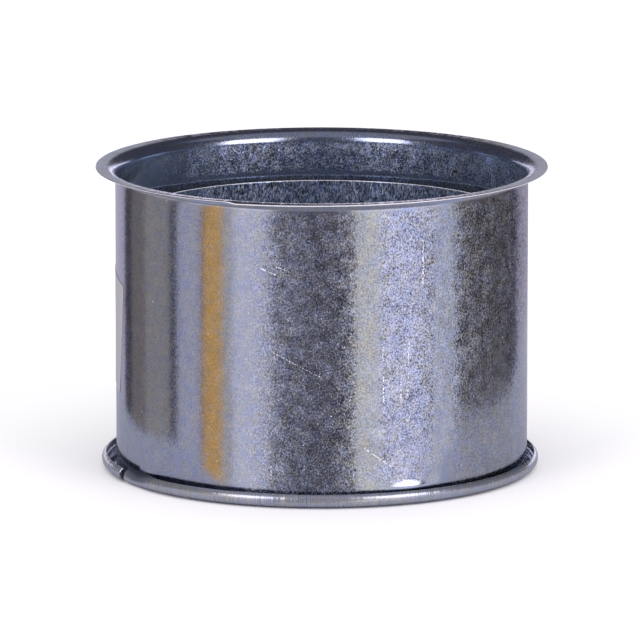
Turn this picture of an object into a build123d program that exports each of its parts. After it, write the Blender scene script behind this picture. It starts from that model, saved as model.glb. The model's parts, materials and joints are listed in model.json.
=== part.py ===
from build123d import *

import os
from math import degrees

# Wall thimble for a round flue pipe: two flanged sleeves of galvanised sheet, one inside the other with an
# air space between, drawn apart along their axis to suit the thickness of the wall.
# Millimetres, +Z up along the axis. The origin is on the axis, in the face that the thimble stands on.

# Flue pipe and sheet
pipe_diameter = 152.4  # 6 in flue pipe that runs through the thimble
pipe_clearance = 0.6  # between the pipe and the inner sleeve, on the radius
sheet = 0.55  # 26 gauge galvanised sheet

# Sleeves, nested as they are stored
overall_height = 123.8  # from the standing face to the top of the flared rim
air_gap = 6.25  # between the two sleeves, on the radius
inner_set_back = 19.9  # the inner sleeve's plain edge lies this far below the flared rim

# Flared rim of the outer sleeve
flare_bend = 4.0  # bend radius under the rim
flare_reach = 7.95  # how far the rim stands out from the sleeve

# Gutter rim of the inner sleeve: a flat floor whose edge is rolled up into an open curl
gutter_bend = 2.0  # bend radius between sleeve and floor
gutter_room = 3.1  # flat floor outside the outer sleeve, up to where the curl begins
curl_radius = 2.85  # outside radius of the curl
curl_past_level = 65.0  # degrees that the curl is rolled on above its widest point

# Lap seams, where each rolled sheet closes on itself
lap = 23.5  # width of the overlap
joggle = 3.0  # length of the step that carries the overlapping end one sheet over
lap_relief = 1.0  # the overlapping end is cut back this far from the bend of the rim
outer_seam_angle = 36.4  # where the overlap starts, degrees anticlockwise from +X seen from above
inner_seam_angle = 205.0
split_root = 0.9  # gap in the gutter rim at the inner seam, beside the sleeve
split_mouth = 2.2  # the same gap at the curl

# Radii and levels that follow from these
bore_radius = pipe_diameter / 2 + pipe_clearance
inner_radius = bore_radius + sheet  # outside of the inner sleeve
outer_bore_radius = inner_radius + air_gap
outer_radius = outer_bore_radius + sheet  # outside of the outer sleeve
rim_radius = outer_radius + flare_reach
curl_centre = outer_radius + gutter_room
inner_top = overall_height - inner_set_back
seat_level = sheet  # the outer sleeve stands on the gutter floor
flare_start = overall_height - sheet - flare_bend
gutter_end = sheet + gutter_bend


def at(radius, angle):
    """The point at a radius and an angle round the axis."""
    return Vector(radius, 0).rotate(Axis.Z, angle)


def lap_seam(start_angle, free_side, far_side, bottom, top):
    """Overlap of a rolled sheet, made on the sleeve being built, between two levels.

    free_side is the radius of the face that the overlapping end lies on, and far_side the sheet's other face.
    """
    inwards = 1 if far_side > free_side else -1
    lap_face = free_side - inwards * sheet
    backing = (free_side + far_side) / 2
    lap_end = start_angle - degrees(lap / free_side)
    joggle_end = lap_end - degrees(joggle / free_side)
    with BuildSketch(Plane.XY.offset(bottom)) as overlap:
        with BuildLine():
            on_sheet = CenterArc((0, 0), backing, lap_end, start_angle - lap_end)
            on_lap = CenterArc((0, 0), lap_face, lap_end, start_angle - lap_end)
            Line(on_sheet @ 0, on_lap @ 0)
            Line(on_sheet @ 1, on_lap @ 1)
        make_face()
        with BuildLine():
            Polyline(
                at(lap_face, lap_end),
                at(free_side, joggle_end),
                at(backing, joggle_end),
                at(backing, lap_end),
                close=True,
            )
        make_face()
    extrude(overlap.sketch, amount=top - bottom)
    # The other end of the sheet stops here, and the joggle leaves a shallow groove beside its cut edge.
    with BuildSketch(Plane.XY.offset(bottom)) as groove:
        with BuildLine():
            Polyline(
                at(free_side, lap_end),
                at(far_side, joggle_end),
                at(far_side + inwards * sheet, joggle_end),
                at(far_side + inwards * sheet, lap_end),
                close=True,
            )
        make_face()
    extrude(groove.sketch, amount=top - bottom, mode=Mode.SUBTRACT)


# Outer sleeve: straight wall with its top edge flared out into a flat rim
with BuildPart() as outer_sleeve:
    with BuildSketch(Plane.XZ):
        with BuildLine():
            wall = Line((outer_radius, seat_level), (outer_radius, flare_start))
            bend = JernArc(start=wall @ 1, tangent=(0, 1), radius=flare_bend, arc_size=-90)
            Line(bend @ 1, (rim_radius, overall_height - sheet))
            offset(amount=sheet, side=Side.LEFT)
        make_face()
    revolve(axis=Axis.Z)
    lap_seam(outer_seam_angle, outer_bore_radius, outer_radius, seat_level, flare_start - lap_relief)

# Inner sleeve: straight wall turned out at the foot into the gutter floor, its edge rolled up and over
with BuildPart() as inner_sleeve:
    with BuildSketch(Plane.XZ):
        with BuildLine():
            wall = Line((inner_radius, inner_top), (inner_radius, gutter_end))
            bend = JernArc(start=wall @ 1, tangent=(0, -1), radius=gutter_bend, arc_size=90)
            floor = Line(bend @ 1, (curl_centre, sheet))
            JernArc(
                start=floor @ 1,
                tangent=(1, 0),
                radius=curl_radius - sheet,
                arc_size=90 + curl_past_level,
            )
            offset(amount=sheet, side=Side.RIGHT)
        make_face()
    revolve(axis=Axis.Z)
    lap_seam(inner_seam_angle, inner_radius, bore_radius, gutter_end + lap_relief, inner_top)
    # The rim doesn't overlap at the seam: its two ends stand apart in a gap that widens outwards.
    with BuildSketch(Plane.XY.rotated((0, 0, inner_seam_angle))):
        with BuildLine():
            split_start = inner_radius + gutter_bend + sheet
            split_end = curl_centre + 2 * curl_radius
            Polyline(
                (split_start, split_root / 2),
                (split_end, split_mouth / 2),
                (split_end, -split_mouth / 2),
                (split_start, -split_root / 2),
                close=True,
            )
        make_face()
    extrude(amount=2 * curl_radius, mode=Mode.SUBTRACT)

os.makedirs("parts", exist_ok=True)
for name, sleeve in (("outer_sleeve", outer_sleeve), ("inner_sleeve", inner_sleeve)):
    sleeve.part.label = name
    export_step(sleeve.part, f"parts/{name}.step")
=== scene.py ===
import json
from math import cos, pi, radians, sin, tan

import bpy
import numpy as np
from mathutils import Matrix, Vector


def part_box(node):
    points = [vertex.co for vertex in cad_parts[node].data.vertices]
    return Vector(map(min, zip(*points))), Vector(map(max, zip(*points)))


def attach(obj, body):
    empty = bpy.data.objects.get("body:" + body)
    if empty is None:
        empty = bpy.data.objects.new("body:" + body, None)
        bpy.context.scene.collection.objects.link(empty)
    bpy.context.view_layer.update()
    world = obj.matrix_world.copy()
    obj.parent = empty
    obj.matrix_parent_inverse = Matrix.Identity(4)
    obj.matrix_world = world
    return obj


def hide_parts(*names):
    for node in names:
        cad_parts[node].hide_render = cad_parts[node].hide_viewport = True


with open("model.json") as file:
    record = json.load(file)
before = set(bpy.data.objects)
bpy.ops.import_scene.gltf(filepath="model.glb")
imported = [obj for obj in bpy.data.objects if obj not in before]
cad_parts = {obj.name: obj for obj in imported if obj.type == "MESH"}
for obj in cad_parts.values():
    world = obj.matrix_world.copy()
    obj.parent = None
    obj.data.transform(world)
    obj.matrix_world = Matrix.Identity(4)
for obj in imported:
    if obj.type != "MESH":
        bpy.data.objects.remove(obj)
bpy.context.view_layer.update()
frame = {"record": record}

# Inner sleeve: one strip of galvanised sheet rolled round and lapped on itself, its plain edge up.
# The foot is turned out into a floor and rolled up into an open curl, slit where the two ends of the
# strip meet. The flue pipe runs through it, and the outer sleeve stands loose in the gutter.
mm = 0.001
mounts = {mount["name"]: mount for mount in frame["record"]["mounts"]}
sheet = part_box("outer_sleeve")[0].z  # the outer sleeve stands on the gutter floor, one sheet up
bore_radius = mounts["flue_bore"]["dims"]["r_mm"] * mm
inner_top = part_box("inner_sleeve")[1].z
gutter_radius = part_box("inner_sleeve")[1].x
gutter_bend = 2.0 * mm + sheet
curl_radius = 2.85 * mm
curl_centre = gutter_radius - curl_radius
curl_turn = radians(155)
column = radians(0.5)  # angle of one column of faces
inner_lap = (radians(187.5), radians(205))  # from the cut edge of one end to the free edge of the other
inner_joggle = radians(2)
inner_lap_foot = gutter_bend + 1.0 * mm
slit = (radians(204.5), radians(205.5))
slit_opening = radians(0.3)  # more on each side of the slit at the edge of the gutter
slit_reach = radians(4)  # how far along the gutter that opening fades
pinch_depth = 3.8 * mm
pinch_offset = radians(6.5)  # from the slit to where the lip is pinched most
pinch_spread = radians(6.5)
gutter_narrowing = 0.7 * mm  # half of what the gutter loses at the right
lap_room = 0.03 * mm  # between the two lapped layers


def arc(centre, radius, start, turn, steps):
    """Points of a round bend in a section, each a radius from the axis and a height."""
    angles = [start + turn * step / steps for step in range(steps + 1)]
    return [(centre[0] + radius * cos(angle), centre[1] + radius * sin(angle)) for angle in angles]


def straight(start, end, steps):
    """Points of a straight stretch of a section, with its start and without its end."""
    run = (end[0] - start[0], end[1] - start[1])
    shares = [step / steps for step in range(steps)]
    return [(start[0] + share * run[0], start[1] + share * run[1]) for share in shares]


def roll(name, section):
    """A closed ring of single-layer sheet: a section drawn by extruding a point and spun round the axis."""
    bpy.ops.object.select_all(action="DESELECT")
    bpy.ops.mesh.primitive_plane_add(size=sheet)
    ring = bpy.context.object
    ring.name = ring.data.name = name
    bpy.ops.object.mode_set(mode="EDIT")
    bpy.ops.mesh.merge(type="CENTER")
    bpy.ops.transform.translate(value=(section[0][0], 0, section[0][1]))
    for here, there in zip(section, section[1:]):
        step = (there[0] - here[0], 0, there[1] - here[1])
        bpy.ops.mesh.extrude_region_move(TRANSFORM_OT_translate={"value": step})
    bpy.ops.mesh.select_all(action="SELECT")
    bpy.ops.mesh.spin(steps=round(2 * pi / column), angle=2 * pi, center=(0, 0, 0), axis=(0, 0, 1))
    bpy.ops.mesh.select_all(action="SELECT")
    bpy.ops.mesh.remove_doubles(threshold=0.01 * mm)
    bpy.ops.mesh.normals_make_consistent(inside=False)
    bpy.ops.object.mode_set(mode="OBJECT")
    return ring


def places(piece):
    """The angle round the axis, from 0 to a full turn, the radius and the height of each point of a mesh."""
    points = np.empty(3 * len(piece.data.vertices))
    piece.data.vertices.foreach_get("co", points)
    x, y, z = points.reshape(-1, 3).T
    return np.arctan2(y, x) % (2 * pi), np.hypot(x, y), z


def put(piece, angle, radius, height):
    """Moves every point of a mesh to its angle, radius and height."""
    points = np.stack([radius * np.cos(angle), radius * np.sin(angle), height], axis=1)
    piece.data.vertices.foreach_set("co", points.ravel())
    piece.data.update()


def pick(piece, wanted):
    """Goes into edit mode with the wanted points selected, and the edges and faces between them."""
    bpy.context.view_layer.objects.active = piece
    bpy.ops.object.mode_set(mode="EDIT")
    bpy.ops.mesh.select_mode(type="VERT")
    bpy.ops.mesh.select_all(action="DESELECT")
    bpy.ops.object.mode_set(mode="OBJECT")
    piece.data.vertices.foreach_set("select", wanted)
    bpy.ops.object.mode_set(mode="EDIT")
    bpy.ops.mesh.select_mode(type="VERT")


def between(values, low, high, slack):
    """Which values lie from low to high, with a little slack at both ends."""
    return (values > low - slack) & (values < high + slack)


def lap_over(piece, lap, joggle, foot, head, lift):
    """Opens the rolled wall at its seam and carries one end over the other, moved in or out by lift."""
    cut, free_edge = lap
    ramp = cut - joggle
    angle, radius, height = places(piece)
    wall = between(height, foot, head, 0.01 * mm) & (abs(radius - np.median(radius)) < 0.1 * mm)
    pick(piece, wall & between(angle, ramp, cut, column / 4))
    bpy.ops.mesh.delete(type="FACE")
    bpy.ops.object.mode_set(mode="OBJECT")
    angle, radius, height = places(piece)
    wall = between(height, foot, head, 0.01 * mm) & (abs(radius - np.median(radius)) < 0.1 * mm)
    pick(piece, wall & between(angle, ramp, ramp, column / 4))
    turn = free_edge - ramp
    bpy.ops.mesh.spin(steps=round(turn / column), angle=-turn, center=(0, 0, 0), axis=(0, 0, 1))
    bpy.ops.object.mode_set(mode="OBJECT")
    old = len(radius)
    angle, radius, height = places(piece)
    share = np.clip((angle[old:] - ramp) / joggle, 0, 1)
    radius[old:] += lift * share * share * (3 - 2 * share)
    put(piece, angle, radius, height)


def thicken(piece, towards_axis, rounding):
    """Gives the single layer its thickness, behind its faces, and takes the bite off the cut edges."""
    bpy.context.view_layer.objects.active = piece
    face = min(piece.data.polygons, key=lambda face: face.center.xy.length)
    if (face.normal.xy.dot(face.center.xy) < 0) != towards_axis:
        piece.data.flip_normals()
    solid = piece.modifiers.new("sheet", "SOLIDIFY")
    solid.thickness = sheet
    solid.offset = -1
    solid.use_even_offset = True
    solid.material_offset_rim = 1
    edges = piece.modifiers.new("cut edges", "BEVEL")
    edges.width = rounding
    edges.segments = 3
    edges.limit_method = "ANGLE"
    edges.angle_limit = radians(60)
    for modifier in ("sheet", "cut edges"):
        bpy.ops.object.modifier_apply(modifier=modifier)
    bpy.ops.object.select_all(action="DESELECT")
    piece.select_set(True)
    bpy.ops.object.shade_smooth_by_angle(angle=radians(35))


def bump(values, centre, spread):
    """A smooth rise to 1 at the centre, falling away over the spread."""
    return np.exp(-(((values - centre) / spread) ** 2))


inner_section = straight((bore_radius, inner_top), (bore_radius, inner_top - sheet), 1)
inner_section += straight((bore_radius, inner_top - sheet), (bore_radius, inner_lap_foot), 20)
inner_section += straight((bore_radius, inner_lap_foot), (bore_radius, gutter_bend), 1)
inner_section += arc((bore_radius + gutter_bend, gutter_bend), gutter_bend, pi, pi / 2, 6)
inner_section += straight((bore_radius + gutter_bend, 0), (curl_centre, 0), 5)[1:]
inner_section += arc((curl_centre, curl_radius), curl_radius, -pi / 2, curl_turn, 16)
inner = roll("rolled_inner_sleeve", inner_section)
lap_over(inner, inner_lap, inner_joggle, inner_lap_foot, inner_top, sheet + lap_room)

angle, radius, height = places(inner)
pick(inner, between(angle, *slit, column / 4) & (radius > bore_radius + gutter_bend - 0.01 * mm))
bpy.ops.mesh.delete(type="FACE")
bpy.ops.object.mode_set(mode="OBJECT")

# The slit opens outwards, the lip on its right is pinched in close to the outer sleeve, and the gutter is
# narrower at the right.
angle, radius, height = places(inner)
floor_start = bore_radius + gutter_bend
out = np.clip((radius - floor_start) / (gutter_radius - floor_start), 0, 1)
slit_middle = sum(slit) / 2
fade = bump(angle, slit_middle, slit_reach) * (height < inner_lap_foot + 3 * mm)
angle = angle + np.sign(angle - slit_middle) * slit_opening * out * fade
rolled = np.clip(height / (2 * curl_radius), 0, 1) * (radius > curl_centre - 0.1 * mm)
pinched = np.where(angle > slit_middle, bump(angle, slit_middle + pinch_offset, pinch_spread), 0)
radius = radius - pinch_depth * rolled * pinched
radius = radius - gutter_narrowing * out * (1 + np.cos(angle))
put(inner, angle, radius, height)


def colour(code):
    """The linear colour of an sRGB hex code."""
    parts = [int(code[place:place + 2], 16) / 255 for place in (1, 3, 5)]
    linear = [part / 12.92 if part <= 0.04045 else ((part + 0.055) / 1.055) ** 2.4 for part in parts]
    return (*linear, 1)


def add_node(owner, kind, sockets=(), **settings):
    """A shader node with its settings, and values or links for its input sockets, each by name or number."""
    node = owner.node_tree.nodes.new(f"ShaderNode{kind}")
    for name, value in settings.items():
        setattr(node, name, value)
    for name, value in dict(sockets).items():
        if isinstance(value, bpy.types.NodeSocket):
            owner.node_tree.links.new(value, node.inputs[name])
        else:
            node.inputs[name].default_value = value
    return node


def new_material(name):
    """A material with an empty node tree."""
    made = bpy.data.materials.new(name)
    made.use_nodes = True
    made.node_tree.nodes.clear()
    return made


outer_radius = mounts["wall_opening"]["dims"]["r_mm"] * mm
rim_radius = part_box("outer_sleeve")[1].x
rim_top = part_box("outer_sleeve")[1].z
flare_bend = 4.0 * mm
flare_short = radians(3.5)  # the rim stops this far short of a right angle
flat_start = outer_radius + flare_bend * (1 - sin(flare_short))
flat_rise = (rim_radius - flat_start) * tan(flare_short)
flare_start = rim_top - sheet - flat_rise - flare_bend * cos(flare_short)


def galvanised_sheet(name, stretch, sheltered, scratches=()):
    """Hot-dipped zinc that mirrors the lights in upright bands, frosted by fine crystals.

    The crystals are brown-grey and blue-white, duller or brighter, and lie a little askew. They are heaviest
    at the right. The left side, the lower right corner, two upright streaks and the bends are smoother, and
    so is the inside below the sheltered level. Rolled rims are brushed across. stretch draws the crystals out
    up and down, and each scratch is a line on the front from one x and z to another, with its width.
    """
    crystal = 0.58 * mm
    dull_crystal = 0.6 * mm
    leaning_crystal = 0.7 * mm
    crystal_clump = 5 * mm
    hue_patch = 4 * mm
    speck_spacing = 7 * mm
    brush_line = 0.5 * mm  # real brush lines are finer, and these are drawn as coarse as it takes to show
    zinc = new_material(name)
    place = add_node(zinc, "TexCoord").outputs["Object"]
    parts = add_node(zinc, "SeparateXYZ", {"Vector": place})
    level = add_node(zinc, "CombineXYZ", {"X": parts.outputs["X"], "Y": parts.outputs["Y"]})
    reach = add_node(zinc, "VectorMath", {0: level.outputs[0]}, operation="LENGTH")
    drawn = add_node(zinc, "VectorMath", {0: place, 1: (1, 1, 1 / stretch)}, operation="MULTIPLY").outputs[0]
    outwards = add_node(zinc, "VectorMath", {0: level.outputs[0]}, operation="NORMALIZE")
    facing = add_node(zinc, "NewGeometry")
    faced = add_node(zinc, "VectorMath", {0: facing.outputs["Normal"], 1: outwards.outputs[0]},
                     operation="DOT_PRODUCT")
    inside = add_node(zinc, "MapRange", {
        "Value": faced.outputs["Value"], "From Min": -0.7, "From Max": -0.2, "To Min": 1.0, "To Max": 0.0})
    fine = add_node(zinc, "TexNoise", {
        "Vector": drawn, "Scale": 1 / crystal, "Detail": 2.0, "Roughness": 0.6})
    clumps = add_node(zinc, "TexNoise", {
        "Vector": place, "Scale": 1 / crystal_clump, "Detail": 3.0, "Roughness": 0.65})

    # Where the sheet is frosted: 0 is smooth
    bent_out = add_node(zinc, "MapRange", {
        "Value": reach.outputs["Value"],
        "From Min": outer_radius + 0.05 * mm, "From Max": outer_radius + 0.6 * mm})
    bent_up = add_node(zinc, "MapRange", {
        "Value": parts.outputs["Z"], "From Min": flare_start - 1.0 * mm, "From Max": flare_start + 0.2 * mm})
    rim = add_node(zinc, "Math", {0: bent_out.outputs[0], 1: bent_up.outputs[0]}, operation="MAXIMUM")
    rim_edge = add_node(zinc, "MapRange", {
        "Value": reach.outputs["Value"],
        "From Min": outer_radius + 2.5 * mm, "From Max": outer_radius + 5 * mm})
    foot = add_node(zinc, "MapRange", {
        "Value": parts.outputs["Z"], "From Min": 8 * mm, "From Max": 12 * mm, "To Min": 1.0, "To Max": 0.0})
    slanting = add_node(zinc, "Math", {0: parts.outputs["Y"], 1: 0.25, 2: parts.outputs["X"]},
                        operation="MULTIPLY_ADD")
    ragged = add_node(zinc, "Math", {0: clumps.outputs["Fac"], 1: 25 * mm, 2: slanting.outputs[0]},
                      operation="MULTIPLY_ADD")
    frosted_side = add_node(zinc, "MapRange", {
        "Value": ragged.outputs[0], "From Min": -38 * mm, "From Max": -24 * mm,
        "To Min": 0.28, "To Max": 1.0})
    right_side = add_node(zinc, "MapRange", {
        "Value": parts.outputs["X"], "From Min": 30 * mm, "From Max": 65 * mm, "To Min": 1.0, "To Max": 1.4})
    corner = add_node(zinc, "Math", {0: parts.outputs["Z"], 1: -0.8, 2: parts.outputs["X"]},
                      operation="MULTIPLY_ADD")
    smooth_corner = add_node(zinc, "MapRange", {
        "Value": corner.outputs[0], "From Min": 10 * mm, "From Max": 40 * mm, "To Min": 1.0, "To Max": 0.35})
    behind = add_node(zinc, "Math", {0: parts.outputs["Y"], 1: 0.0}, operation="MAXIMUM")
    streaks = []
    for middle, edge in ((18.6 * mm, 4 * mm), (48.8 * mm, 3 * mm)):
        off_streak = add_node(zinc, "Math", {0: parts.outputs["X"], 1: middle}, operation="SUBTRACT")
        off_streak = add_node(zinc, "Math", {0: off_streak.outputs[0]}, operation="ABSOLUTE")
        off_streak = add_node(zinc, "Math", {0: off_streak.outputs[0], 1: behind.outputs[0]}, operation="ADD")
        streaks.append(add_node(zinc, "MapRange", {
            "Value": off_streak.outputs[0], "From Min": edge, "From Max": edge + 2 * mm,
            "To Min": 0.5, "To Max": 1.0}))
    plain = add_node(zinc, "Math", {0: rim.outputs[0], 1: -0.8, 2: 1.0}, operation="MULTIPLY_ADD")
    calm = add_node(zinc, "MapRange", {
        "Value": parts.outputs["Z"], "From Min": sheltered - 1 * mm, "From Max": sheltered + 1 * mm,
        "To Min": -0.8, "To Max": 0.1})
    smooth_inside = add_node(zinc, "Math", {0: calm.outputs[0], 1: inside.outputs[0], 2: 1.0},
                             operation="MULTIPLY_ADD")
    frost = frosted_side
    for mask in (right_side, smooth_corner, *streaks, plain, smooth_inside):
        frost = add_node(zinc, "Math", {0: frost.outputs[0], 1: mask.outputs[0]}, operation="MULTIPLY")

    # Colour: darker and lighter crystals, brown or blue in patches, and painted light on the faces turned to
    # the axis
    mottle = add_node(zinc, "Math", {0: clumps.outputs["Fac"], 1: 0.35, 2: fine.outputs["Fac"]},
                      operation="MULTIPLY_ADD")
    light = add_node(zinc, "MapRange", {
        "Value": mottle.outputs[0], "From Min": 0.46, "From Max": 0.89, "To Min": -0.73, "To Max": 0.53})
    lines = add_node(zinc, "TexNoise", {
        "Vector": outwards.outputs[0], "Scale": outer_radius / brush_line, "Detail": 2.0})
    scored = add_node(zinc, "MapRange", {
        "Value": lines.outputs["Fac"], "From Min": 0.5, "From Max": 0.65, "To Min": 0.65, "To Max": 0.45})
    scored = add_node(zinc, "Mix", {0: rim_edge.outputs[0], 2: 0.65, 3: scored.outputs[0]})
    # Faces turned to the axis are painted a little lighter: painted light standing in for the light bouncing
    # round the bore
    usual = add_node(zinc, "Math", {0: inside.outputs[0], 1: 0.1, 2: scored.outputs[0]},
                     operation="MULTIPLY_ADD")
    shade = add_node(zinc, "Math", {0: light.outputs[0], 1: frost.outputs[0], 2: usual.outputs[0]},
                     operation="MULTIPLY_ADD", use_clamp=True)
    hues = add_node(zinc, "TexNoise", {
        "Vector": place, "Scale": 1 / hue_patch, "Detail": 4.0, "Roughness": 0.7})
    hue = add_node(zinc, "MapRange", {"Value": hues.outputs["Fac"], "From Min": 0.38, "From Max": 0.62})
    dark = add_node(zinc, "Mix", {
        "Factor": hue.outputs[0], 6: colour("#55565f"), 7: colour("#5e5751")}, data_type="RGBA")
    pale = add_node(zinc, "Mix", {
        "Factor": hue.outputs[0], 6: colour("#c9d7f4"), 7: colour("#d9e0e8")}, data_type="RGBA")
    tone = add_node(zinc, "Mix", {"Factor": shade.outputs[0], 6: dark.outputs[2], 7: pale.outputs[2]},
                    data_type="RGBA")
    # and a little bluer: a painted reflection of the bore's bluish bounced light
    tone = add_node(zinc, "Mix", {"Factor": inside.outputs[0], 6: tone.outputs[2], 7: colour("#f4faff")},
                    data_type="RGBA", blend_type="MULTIPLY")

    # The curl is a touch browner, and an upright band at the far right is painted brown: a painted reflection
    off_reflected_band = add_node(zinc, "Math", {0: parts.outputs["X"], 1: 66.5 * mm}, operation="SUBTRACT")
    off_reflected_band = add_node(zinc, "Math", {0: off_reflected_band.outputs[0]}, operation="ABSOLUTE")
    brown_tint_and_reflection = add_node(zinc, "MapRange", {
        "Value": off_reflected_band.outputs[0], "From Min": 9.5 * mm, "From Max": 11.5 * mm,
        "To Min": 1.0, "To Max": 0.0})
    bare = add_node(zinc, "Math", {0: 1.0, 1: inside.outputs[0]}, operation="SUBTRACT")
    brown_tint_and_reflection = add_node(zinc, "Math", {0: brown_tint_and_reflection.outputs[0], 1: bare.outputs[0]}, operation="MULTIPLY")
    curl = add_node(zinc, "Math", {0: rim_edge.outputs[0], 1: foot.outputs[0]}, operation="MULTIPLY")
    brown_tint_and_reflection = add_node(zinc, "Math", {0: brown_tint_and_reflection.outputs[0], 1: curl.outputs[0]}, operation="MAXIMUM")
    tone = add_node(zinc, "Mix", {"Factor": brown_tint_and_reflection.outputs[0], 6: tone.outputs[2], 7: colour("#fcf8f0")},
                    data_type="RGBA", blend_type="MULTIPLY")

    # Specks and scratches, bright where the skin of zinc is broken
    specks = add_node(zinc, "TexVoronoi", {"Vector": place, "Scale": 1 / speck_spacing})
    broken = add_node(zinc, "MapRange", {
        "Value": specks.outputs["Distance"], "From Min": 0.02, "From Max": 0.038,
        "To Min": 1.0, "To Max": 0.0})
    in_front = add_node(zinc, "Math", {0: parts.outputs["Y"], 1: 0.0}, operation="LESS_THAN")
    gaps = add_node(zinc, "MapRange", {"Value": fine.outputs["Fac"], "From Min": 0.46, "From Max": 0.53})
    for start_x, start_z, end_x, end_z, width in scratches:
        length = np.hypot(end_x - start_x, end_z - start_z)
        run = Vector((end_x - start_x, 0, end_z - start_z)) / length
        from_start = add_node(zinc, "VectorMath", {0: place, 1: (start_x, 0, start_z)},
                              operation="SUBTRACT")
        along = add_node(zinc, "VectorMath", {0: from_start.outputs[0], 1: run}, operation="DOT_PRODUCT")
        across = add_node(zinc, "VectorMath", {0: from_start.outputs[0], 1: (run.z, 0, -run.x)},
                          operation="DOT_PRODUCT")
        in_length = add_node(zinc, "Math", {0: along.outputs["Value"], 1: length / 2, 2: length / 2},
                             operation="COMPARE")
        in_width = add_node(zinc, "Math", {0: across.outputs["Value"], 1: 0.0, 2: width / 2},
                            operation="COMPARE")
        line = in_front
        for limit in (in_length, in_width, gaps):
            line = add_node(zinc, "Math", {0: line.outputs[0], 1: limit.outputs[0]}, operation="MULTIPLY")
        broken = add_node(zinc, "Math", {0: broken.outputs[0], 1: line.outputs[0]}, operation="MAXIMUM")
    tone = add_node(zinc, "Mix", {"Factor": broken.outputs[0], 6: tone.outputs[2], 7: colour("#f4f6ff")},
                    data_type="RGBA")

    # Lie of the surface: leaning crystals, and brush lines across the rims
    crystals = add_node(zinc, "TexVoronoi", {"Vector": drawn, "Scale": 1 / leaning_crystal})
    lean = add_node(zinc, "VectorMath", {0: crystals.outputs["Color"], 1: (0.5, 0.5, 0.5)},
                    operation="SUBTRACT")
    own_size = add_node(zinc, "SeparateColor", {"Color": crystals.outputs["Color"]})
    lean_size = add_node(zinc, "MapRange", {
        "Value": own_size.outputs["Blue"], "From Min": 0.5, "From Max": 1.0, "To Min": 0.03, "To Max": 0.14})
    lean_part = add_node(zinc, "Math", {0: lean_size.outputs[0], 1: frost.outputs[0]}, operation="MULTIPLY")
    leaning = add_node(zinc, "VectorMath", {0: lean.outputs[0], "Scale": lean_part.outputs[0]},
                       operation="SCALE")
    swing = add_node(zinc, "MapRange", {
        "Value": lines.outputs["Fac"], "From Min": 0.3, "From Max": 0.7, "To Min": -0.25, "To Max": 0.25})
    brush_size = add_node(zinc, "Math", {0: foot.outputs[0], 1: -0.7, 2: 1.0}, operation="MULTIPLY_ADD")
    brush_part = add_node(zinc, "Math", {0: brush_size.outputs[0], 1: rim_edge.outputs[0]},
                          operation="MULTIPLY")
    brushed = add_node(zinc, "Math", {0: swing.outputs[0], 1: brush_part.outputs[0]}, operation="MULTIPLY")
    around = add_node(zinc, "VectorMath", {0: outwards.outputs[0], 1: (0, 0, -1)}, operation="CROSS_PRODUCT")
    brushing = add_node(zinc, "VectorMath", {0: around.outputs[0], "Scale": brushed.outputs[0]},
                        operation="SCALE")
    askew = add_node(zinc, "VectorMath", {0: facing.outputs["Normal"], 1: leaning.outputs[0]},
                     operation="ADD")
    worked = add_node(zinc, "VectorMath", {0: askew.outputs[0], 1: brushing.outputs[0]}, operation="ADD")
    normal = add_node(zinc, "VectorMath", {0: worked.outputs[0]}, operation="NORMALIZE")

    # Gloss: dulled crystal by crystal, softer on the curl, the rim's ends and broken spots, dusty inside
    grains = add_node(zinc, "TexNoise", {
        "Vector": drawn, "Scale": 1 / dull_crystal, "Detail": 2.0, "Roughness": 0.6})
    grain = add_node(zinc, "Math", {0: clumps.outputs["Fac"], 1: 0.3, 2: grains.outputs["Fac"]},
                     operation="MULTIPLY_ADD")
    dull = add_node(zinc, "MapRange", {
        "Value": grain.outputs[0], "From Min": 0.57, "From Max": 0.9, "To Min": 0.0, "To Max": 0.52})
    sideways = add_node(zinc, "Math", {0: parts.outputs["X"]}, operation="ABSOLUTE")
    rim_end = add_node(zinc, "MapRange", {
        "Value": sideways.outputs[0], "From Min": 55 * mm, "From Max": 80 * mm})
    for mask in (rim_edge, bent_up):
        rim_end = add_node(zinc, "Math", {0: rim_end.outputs[0], 1: mask.outputs[0]}, operation="MULTIPLY")
    roughness = add_node(zinc, "Math", {0: dull.outputs[0], 1: frost.outputs[0], 2: 0.04},
                         operation="MULTIPLY_ADD")
    for mask, more in ((smooth_inside, 0.08), (curl, 0.14), (broken, 0.3), (bent_up, 0.06), (rim_end, 0.2)):
        roughness = add_node(zinc, "Math", {0: mask.outputs[0], 1: more, 2: roughness.outputs[0]},
                             operation="MULTIPLY_ADD")
    below_bend = add_node(zinc, "Math", {0: 1.0, 1: bent_up.outputs[0]}, operation="SUBTRACT")
    dusty = add_node(zinc, "Math", {0: below_bend.outputs[0], 1: inside.outputs[0]}, operation="MULTIPLY")
    metallic = add_node(zinc, "Math", {0: broken.outputs[0], 1: -0.5, 2: 1.0}, operation="MULTIPLY_ADD")
    for mask, less in ((curl, -0.2), (rim_end, -0.45), (dusty, -0.055)):
        metallic = add_node(zinc, "Math", {0: mask.outputs[0], 1: less, 2: metallic.outputs[0]},
                            operation="MULTIPLY_ADD")
    shine = add_node(zinc, "BsdfPrincipled", {
        "Base Color": tone.outputs[2], "Metallic": metallic.outputs[0], "Roughness": roughness.outputs[0],
        "Normal": normal.outputs[0]})
    add_node(zinc, "OutputMaterial", {"Surface": shine.outputs[0]})
    return zinc


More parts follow.
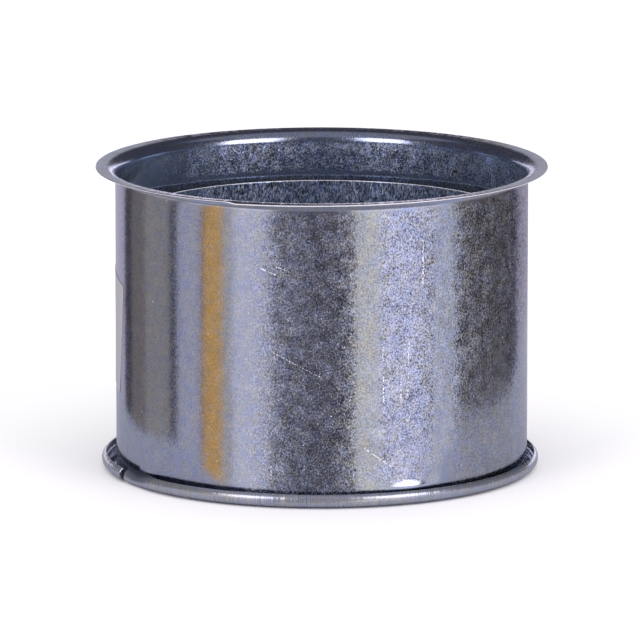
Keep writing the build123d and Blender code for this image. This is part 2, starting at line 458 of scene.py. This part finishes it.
def cut_edge(name, low, high, painted_highlight_tone):
    """The bare sheared edge of the sheet: painted bright between two levels as a painted highlight, and grey
    elsewhere.
    """
    edge = new_material(name)
    parts = add_node(edge, "SeparateXYZ", {"Vector": add_node(edge, "TexCoord").outputs["Object"]})
    # Painted highlight: the edge is bright only between the two levels
    painted_highlight = add_node(edge, "Math", {0: parts.outputs["Z"], 1: (low + high) / 2, 2: (high - low) / 2},
                   operation="COMPARE")
    tone = add_node(edge, "Mix", {"Factor": painted_highlight.outputs[0], 6: colour("#5c5c64"), 7: colour(painted_highlight_tone)},
                    data_type="RGBA")
    bright = add_node(edge, "BsdfPrincipled", {
        "Base Color": tone.outputs[2], "Metallic": 0.4, "Roughness": 0.5})
    add_node(edge, "OutputMaterial", {"Surface": bright.outputs[0]})
    return edge


inner_zinc = galvanised_sheet("galvanised sheet of the inner sleeve", stretch=2.5, sheltered=0.0)
# The inner sleeve's cut edge carries a painted highlight above 3.6 mm, and is grey below
inner_cut = cut_edge(
    "cut edge of the inner sleeve", low=3.6 * mm, high=inner_top + 1 * mm, painted_highlight_tone="#fafafc")
inner.data.materials.append(inner_zinc)
inner.data.materials.append(inner_cut)
thicken(inner, towards_axis=True, rounding=0.25 * mm)
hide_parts("inner_sleeve")
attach(inner, "inner")

# Outer sleeve: a second rolled strip of galvanised sheet, wider by the air space, standing in the gutter.
# Its lap is inside, at the right rear, and its top edge is flared out into a thin flat rim.
seat_level = sheet
outer_lap = (radians(20.5), radians(36.5))
outer_joggle = radians(2)
knock = radians(248.5)  # where the rim was knocked down
knock_depth = 0.7 * mm
knock_start = radians(2)  # how far to its left the knock begins
knock_end = radians(30)  # how slowly it comes back to its right
crease = radians(294.5)  # where the foot was kicked out
crease_depth = 1.0 * mm
crease_spread = radians(8)
crease_top = 11.5 * mm
crease_height = 5 * mm
crease_rows = (4 * mm, 12 * mm)  # heights between which the wall has closer rows of faces

outer_section = straight((outer_radius, seat_level), (outer_radius, crease_rows[0]), 2)
outer_section += straight((outer_radius, crease_rows[0]), (outer_radius, crease_rows[1]), 16)
outer_section += straight((outer_radius, crease_rows[1]), (outer_radius, flare_start), 12)
outer_section += arc((outer_radius + flare_bend, flare_start), flare_bend, pi, flare_short - pi / 2, 8)
outer_section += straight((flat_start, rim_top - sheet - flat_rise), (rim_radius, rim_top - sheet), 4)[1:]
outer_section += [(rim_radius, rim_top - sheet)]
outer = roll("rolled_outer_sleeve", outer_section)
lap_over(outer, outer_lap, outer_joggle, seat_level, flare_start, -sheet - lap_room)

# The rim was knocked down at the front left and comes back slowly to the right of it. The foot is creased
# and kicked out at the front right.
angle, radius, height = places(outer)
reach = np.clip((radius - outer_radius) / (rim_radius - outer_radius), 0, 1)
knocked = np.where(angle < knock, bump(angle, knock, knock_start), np.exp((knock - angle) / knock_end))
height = height - knock_depth * reach ** 2 * knocked
foot = np.clip((crease_top - height) / crease_height, 0, 1)
radius = radius + crease_depth * foot ** 1.5 * bump(angle, crease, crease_spread)
put(outer, angle, radius, height)

# Scratches on the front: x and z of the start and of the end, and the width, in millimetres
outer_scratches = [[size * mm for size in scratch] for scratch in (
    (-24.5, 96.0, -18.2, 93.5, 0.35),
    (-18.2, 96.8, -13.8, 95.5, 0.3),
    (40.4, 106.2, 40.4, 88.0, 0.45),
    (24.4, 64.9, 24.4, 58.0, 0.3),
    (24.6, 52.0, 24.6, 40.2, 0.4),
    (34.9, 66.0, 34.4, 43.5, 0.25),
    (31.7, 48.5, 31.7, 40.0, 0.3),
    (16.1, 23.8, 28.1, 14.9, 0.25),
    (-19.8, 62.3, 0.1, 52.2, 0.2),
    (-20.3, 16.2, -20.3, 10.1, 0.3),
)]
outer_zinc = galvanised_sheet(
    "galvanised sheet of the outer sleeve", stretch=1.2, sheltered=107 * mm, scratches=outer_scratches)
# The outer sleeve's cut edge carries a painted highlight along the rim only
outer_cut = cut_edge(
    "cut edge of the outer sleeve", low=flare_start + 1 * mm, high=rim_top - 0.28 * mm, painted_highlight_tone="#dcdce2")
outer.data.materials.append(outer_zinc)
outer.data.materials.append(outer_cut)
thicken(outer, towards_axis=False, rounding=0.15 * mm)
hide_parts("outer_sleeve")
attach(outer, "outer")

# Paper label: a plain white sticker of thin paper with rounded corners, pasted on the outer sleeve at the
# left, a little crooked.
label_width = 60 * mm
label_height = 46 * mm
label_middle = (radians(175), 60 * mm)  # angle round the axis, and height
label_tilt = radians(-9)
label_corner = 2 * mm
label_columns = 40  # strips of faces that follow the round wall
paper_grain = 0.6 * mm
paper_gap = 0.06 * mm
paper = 0.1 * mm

bpy.ops.object.select_all(action="DESELECT")
bpy.ops.mesh.primitive_plane_add(size=1)
label = bpy.context.object
label.name = label.data.name = "paper_label"
bpy.ops.object.mode_set(mode="EDIT")
bpy.ops.transform.resize(value=(label_width, label_height, 1))
bpy.ops.mesh.bevel(offset=label_corner, segments=6, affect="VERTICES")
bpy.ops.object.mode_set(mode="OBJECT")
bpy.ops.object.mode_set(mode="EDIT")
for step in range(1, label_columns):
    bpy.ops.mesh.select_all(action="SELECT")
    cut_at = label_width * (step / label_columns - 0.5)
    bpy.ops.mesh.bisect(plane_co=(cut_at, 0, 0), plane_no=(1, 0, 0))
bpy.ops.object.mode_set(mode="OBJECT")
points = np.array([corner.co[:] for corner in label.data.vertices])
along = points[:, 0] * cos(label_tilt) - points[:, 1] * sin(label_tilt)
up = points[:, 0] * sin(label_tilt) + points[:, 1] * cos(label_tilt)
label_angle, label_level = label_middle
put(label, label_angle + along / outer_radius, np.full(len(up), outer_radius + paper_gap), label_level + up)
solid = label.modifiers.new("paper", "SOLIDIFY")
solid.thickness = paper
solid.offset = 1
bpy.ops.object.modifier_apply(modifier="paper")

# White paper, painted a little grey as painted shade; matt, with a faint grain.
white_paper = new_material("white paper in painted shade")
place = add_node(white_paper, "TexCoord").outputs["Object"]
grain = add_node(white_paper, "TexNoise", {"Vector": place, "Scale": 1 / paper_grain, "Detail": 3.0})
# These grey tones are painted shade on what is white paper
tone = add_node(white_paper, "Mix", {
    "Factor": grain.outputs["Fac"], 6: colour("#96949b"), 7: colour("#a2a0a6")}, data_type="RGBA")
matt = add_node(white_paper, "BsdfPrincipled", {"Base Color": tone.outputs[2], "Roughness": 0.7})
add_node(white_paper, "OutputMaterial", {"Surface": matt.outputs[0]})
label.data.materials.append(white_paper)
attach(label, "outer")

# Studio: a wide pale floor in a white room that the metal mirrors dimly, with upright softboxes and cards in
# a ring round the thimble. Two main softboxes stand high in front, a soft panel hangs overhead, and a grey
# table top shows only in the metal.
floor_level = -0.6 * mm
table_size = (0.395, 0.44)
table_middle = (0.0325, 0.128, -0.3 * mm)
bpy.ops.object.select_all(action="DESELECT")
bpy.ops.mesh.primitive_plane_add(size=12)
bpy.ops.object.mode_set(mode="EDIT")
bpy.ops.transform.translate(value=(0, 0, floor_level))
bpy.ops.object.mode_set(mode="OBJECT")
floor = bpy.context.object
floor.name = "studio_floor"
floor.visible_glossy = False
floor.visible_shadow = False
pale = new_material("pale floor")
matt = add_node(pale, "BsdfPrincipled", {"Base Color": colour("#f6f6f6"), "Roughness": 0.9})
add_node(pale, "OutputMaterial", {"Surface": matt.outputs[0]})
floor.data.materials.append(pale)

room = bpy.data.worlds.new("studio room")
room.use_nodes = True
room.node_tree.nodes.clear()
ray = add_node(room, "LightPath")
bright = add_node(room, "Background", {"Color": colour("#ffffff"), "Strength": 1.0})
dim = add_node(room, "Background", {"Color": colour("#4a4852"), "Strength": 1.0})
seen = add_node(room, "MixShader", {0: ray.outputs["Is Glossy Ray"], 1: bright.outputs[0], 2: dim.outputs[0]})
add_node(room, "OutputWorld", {"Surface": seen.outputs[0]})
bpy.context.scene.world = room
bpy.context.scene.view_settings.view_transform = "Standard"


def softbox(name, where, facing, width, height, tint, strength):
    """A lamp panel at a place, facing another place, with a plain tint and the brightness of its face."""
    panel = bpy.data.lights.new(name, "AREA")
    panel.shape = "RECTANGLE"
    panel.size = width
    panel.size_y = height
    panel.color = colour(tint)[:3]
    panel.energy = strength * pi * width * height
    lamp = bpy.data.objects.new(name, panel)
    bpy.context.collection.objects.link(lamp)
    lamp.location = where
    lamp.rotation_euler = (Vector(facing) - Vector(where)).to_track_quat("-Z", "Y").to_euler()
    lamp.visible_camera = False


ring_radius = 1.4
card_top = 0.15
# Each card: its name, the degrees it spans round from the camera's side, its lower edge, tint and brightness
for name, start, end, bottom, tint, strength in (
    ("left brown card", -130, -114, -0.75, "#ffe8d2", 0.18),
    ("left grey strip", -114, -91.5, -0.75, "#fff2e6", 0.33),
    ("left cool strip", -86, -69, -0.75, "#f2eeff", 0.57),
    ("orange card", -67.5, -55.5, -0.75, "#ffbe4c", 0.8),
    ("left grey card", -55.5, -49, -0.75, "#fffaf8", 0.5),
    ("left softbox", -49, -27.5, -0.75, "#faf4ff", 0.85),
    ("left fill card", -27.5, -8, -0.33, "#f4f0ff", 0.25),
    ("centre card", -8, 16.2, -0.33, "#f4ecff", 0.11),
    ("warm strip", 16.2, 32, -0.75, "#fff6ea", 0.97),
    ("right softbox", 32, 57, -0.75, "#eeeaff", 1.08),
    ("right dim softbox", 57, 80, -0.75, "#faf6ff", 0.76),
    ("right grey card", 82, 124, -0.75, "#fff6f0", 0.105),
):
    middle = radians((start + end) / 2)
    level = (bottom + card_top) / 2
    where = (ring_radius * sin(middle), -ring_radius * cos(middle), level)
    width = 2 * ring_radius * tan(radians(end - start) / 2)
    softbox(name, where, (0, 0, level), width, card_top - bottom, tint, strength)
softbox("back panel", (0.06, ring_radius, -0.25), (0.06, 0, -0.25), 2.36, 1.0, "#f6eaff", 0.54)
softbox("back strip", (0, ring_radius - 0.01, 0.19), (0, 0, 0.19), 2.3, 0.2, "#f6eeff", 1.4)
softbox("overhead panel", (0, -0.45, 1.5), (0, -0.45, 0), 2.2, 2.2, "#f8f2ff", 0.22)
softbox("floor glow", (0, 0, -0.5), (0, 0, 0), 2.6, 2.6, "#fff6ff", 0.3)
for middle, span in ((radians(43), radians(34)), (radians(-37), radians(26))):
    where = (ring_radius * sin(middle), -ring_radius * cos(middle), 0.68)
    softbox("main softbox", where, (0, 0, 0.3), 2 * ring_radius * tan(span / 2), 0.9, "#fdf4ff", 3.6)

bpy.ops.mesh.primitive_plane_add(size=1)
table = bpy.context.object
table.name = "table_top"
bpy.ops.object.mode_set(mode="EDIT")
bpy.ops.transform.resize(value=(*table_size, 1))
bpy.ops.transform.translate(value=table_middle)
bpy.ops.object.mode_set(mode="OBJECT")
table.visible_camera = False
table.visible_diffuse = False
table.visible_shadow = False
grey = new_material("grey table top")
matt = add_node(grey, "BsdfPrincipled", {"Base Color": colour("#b0b0bc"), "Roughness": 0.9})
add_node(grey, "OutputMaterial", {"Surface": matt.outputs[0]})
table.data.materials.append(grey)

# Camera: a long lens at the photograph's angle, looking a little down on the thimble from the front.
camera_rise = radians(11)
camera_distance = 3.25
aim = Vector((-0.0007, 0, 0.0594))
view = bpy.data.cameras.new("camera")
view.lens = 447
camera = bpy.data.objects.new("camera", view)
bpy.context.collection.objects.link(camera)
camera.location = aim + camera_distance * Vector((0, -cos(camera_rise), sin(camera_rise)))
camera.rotation_euler = (pi / 2 - camera_rise, 0, 0)
bpy.context.scene.camera = camera
